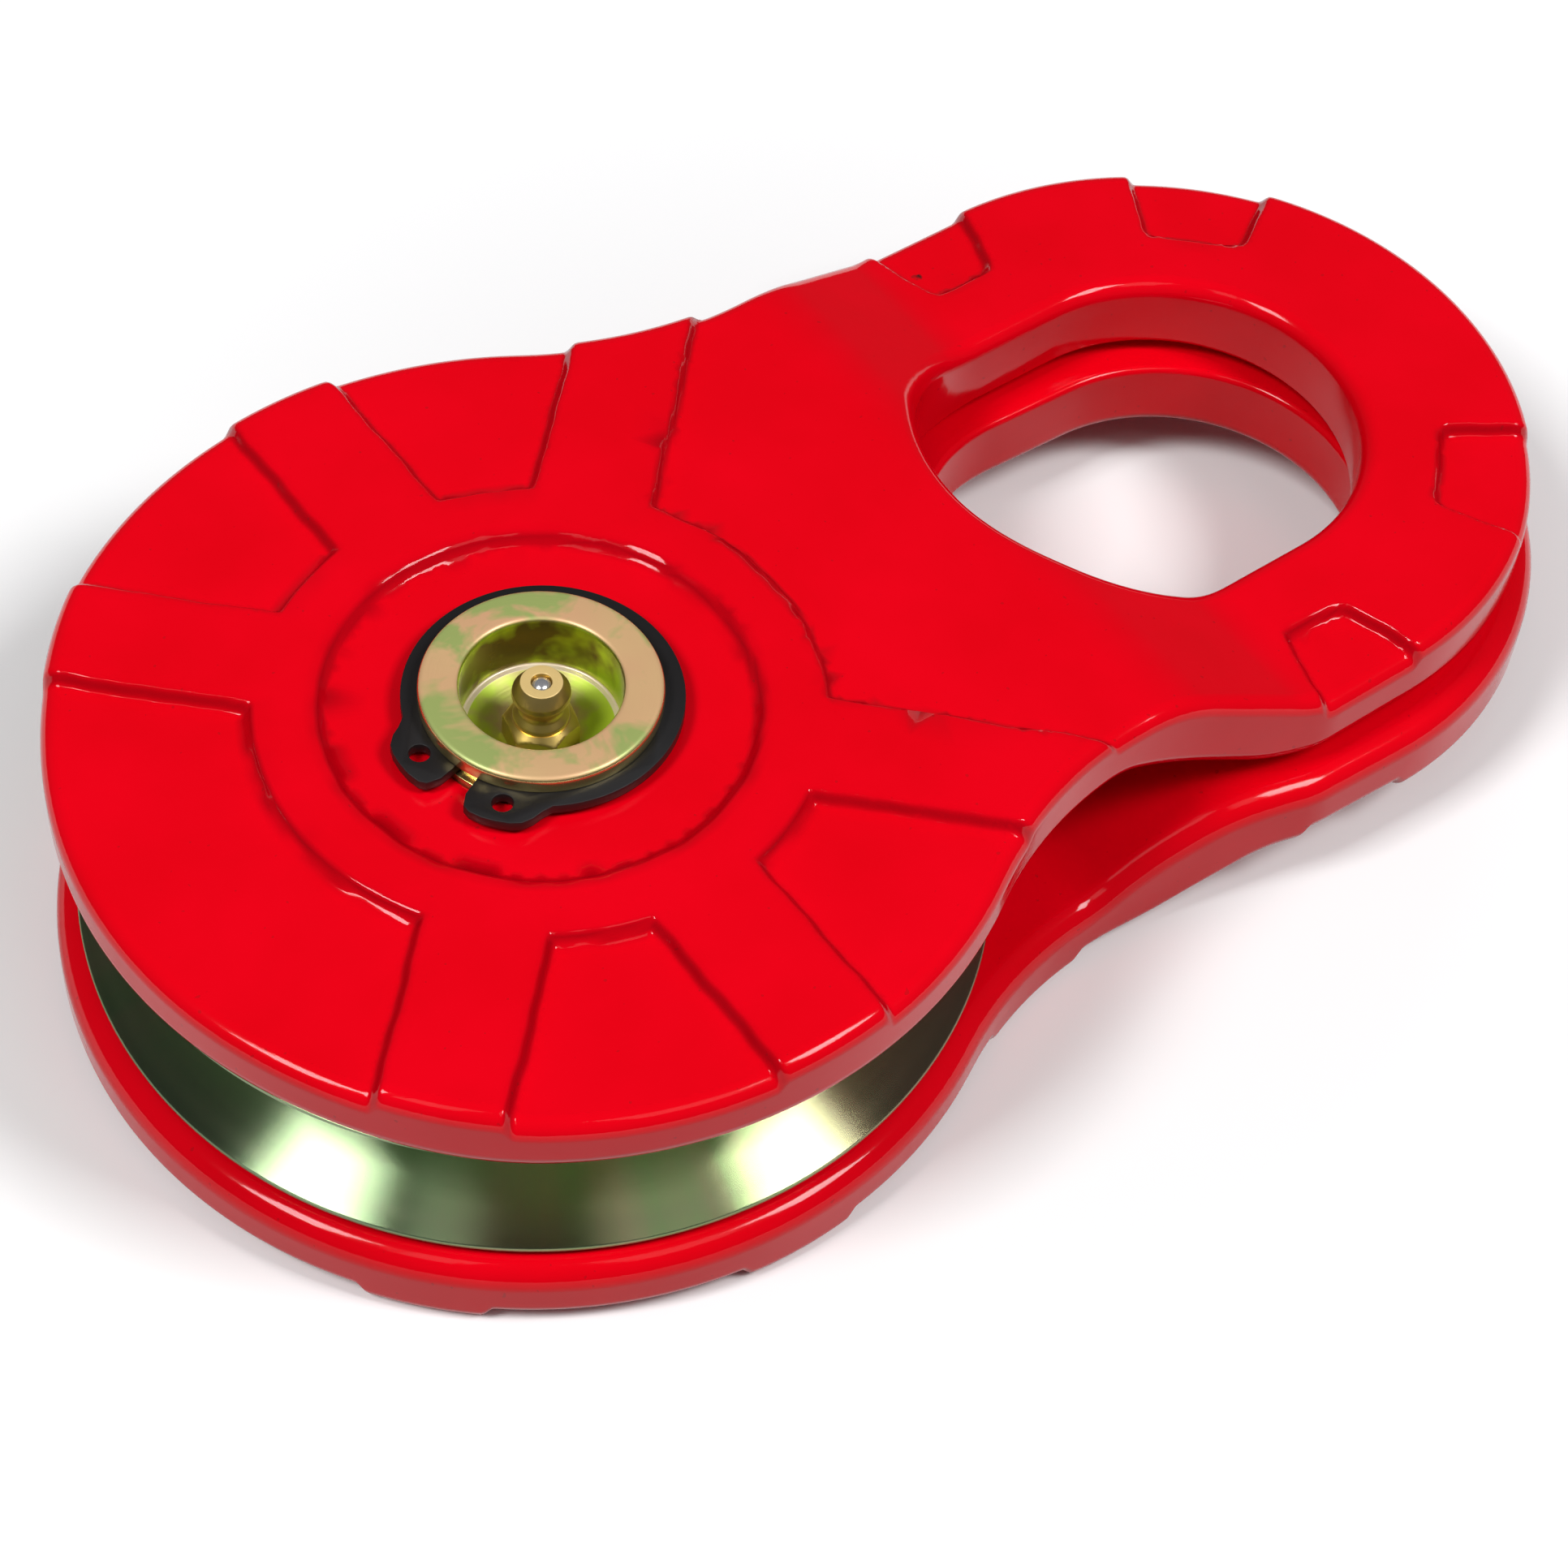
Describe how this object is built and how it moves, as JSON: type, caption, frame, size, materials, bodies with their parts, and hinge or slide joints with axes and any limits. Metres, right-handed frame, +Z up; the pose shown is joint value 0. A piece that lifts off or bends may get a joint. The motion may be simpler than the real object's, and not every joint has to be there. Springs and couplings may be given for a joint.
{
  "type": "snatch block",
  "caption": "Swing-cheek rope pulley: forged side plates joined by a greasable axle pin carry a grooved sheave, and their ends close into a shackle eye.",
  "frame": {"origin": "on the axle's centre line, in the plane that the block rests on: the raised face of the lower side plate and the head of the axle pin", "axes": "+X from the axle to the shackle eye, +Y across the plates, +Z up along the axle, out of the end with the retaining ring and the grease nipple"},
  "size_m": [0.2039, 0.1164, 0.0454],
  "materials": {
    "side_plate_paint": "gloss red enamel on forged steel",
    "sheave_zinc": "yellow-chromate zinc on turned steel",
    "bush_bronze": "plain bronze",
    "pin_zinc": "yellow-chromate zinc on turned steel",
    "ring_black": "black oxide spring steel",
    "nipple_brass": "yellow-plated steel",
    "ball_steel": "polished steel",
    "spring_steel": "bright spring wire"
  },
  "bodies": {
    "fixed_cheek": {"lower_side_plate": "side_plate_paint", "axle_pin": "pin_zinc", "retaining_ring": "ring_black", "grease_nipple": "nipple_brass", "nipple_ball": "ball_steel", "nipple_spring": "spring_steel"},
    "swing_cheek": {"upper_side_plate": "side_plate_paint"},
    "wheel": {"sheave": "sheave_zinc", "sheave_bush": "bush_bronze"}
  },
  "joints": [
    {"name": "cheek_swing", "type": "hinge", "parent": "fixed_cheek", "child": "swing_cheek", "pos_m": [0, 0, 0.0211], "axis": [0, 0, 1], "continuous": true},
    {"name": "sheave_spin", "type": "hinge", "parent": "fixed_cheek", "child": "wheel", "pos_m": [0, 0, 0.0211], "axis": [0, 0, 1], "continuous": true}
  ]
}
